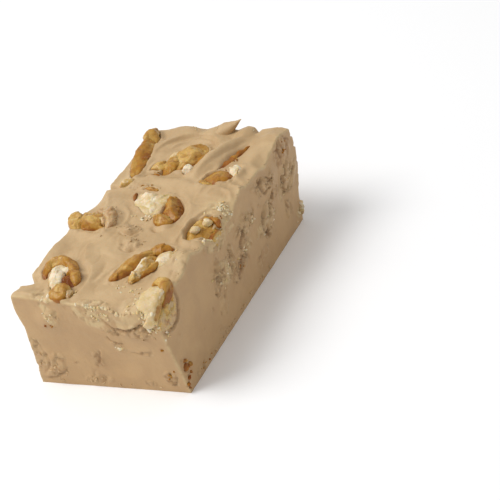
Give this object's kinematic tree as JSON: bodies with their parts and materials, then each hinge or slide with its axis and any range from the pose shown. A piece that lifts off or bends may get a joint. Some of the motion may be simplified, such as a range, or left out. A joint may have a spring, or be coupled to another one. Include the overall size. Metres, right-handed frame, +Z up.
{
  "type": "butter nut fudge bar",
  "caption": "Knife-cut bar of tan butter fudge with rough cut sides, a folded uneven top and pieces of nut pressed into it.",
  "frame": {"origin": "middle of the bounding box in plan, at the flat base the bar lies on", "axes": "+Y along the bar's length towards its far end, +X across its width, +Z up through the top with the nuts"},
  "size_m": [0.0537, 0.1016, 0.0392],
  "materials": {
    "fudge": "opaque butter fudge, tan to caramel, soft satin with a fine grain and darker buttery patches",
    "nut": "golden to reddish brown nut skin with a slight oily gloss, and pale cream flesh where the nut is broken"
  },
  "bodies": {
    "root": {"fudge_block": "fudge", "nut_back_left": "nut", "nut_back_middle": "nut", "nut_back_right": "nut", "nut_middle": "nut", "nut_right_edge": "nut", "nut_left_edge": "nut", "nut_front_left": "nut", "nut_front_middle": "nut", "nut_front_right": "nut"}
  },
  "joints": []
}
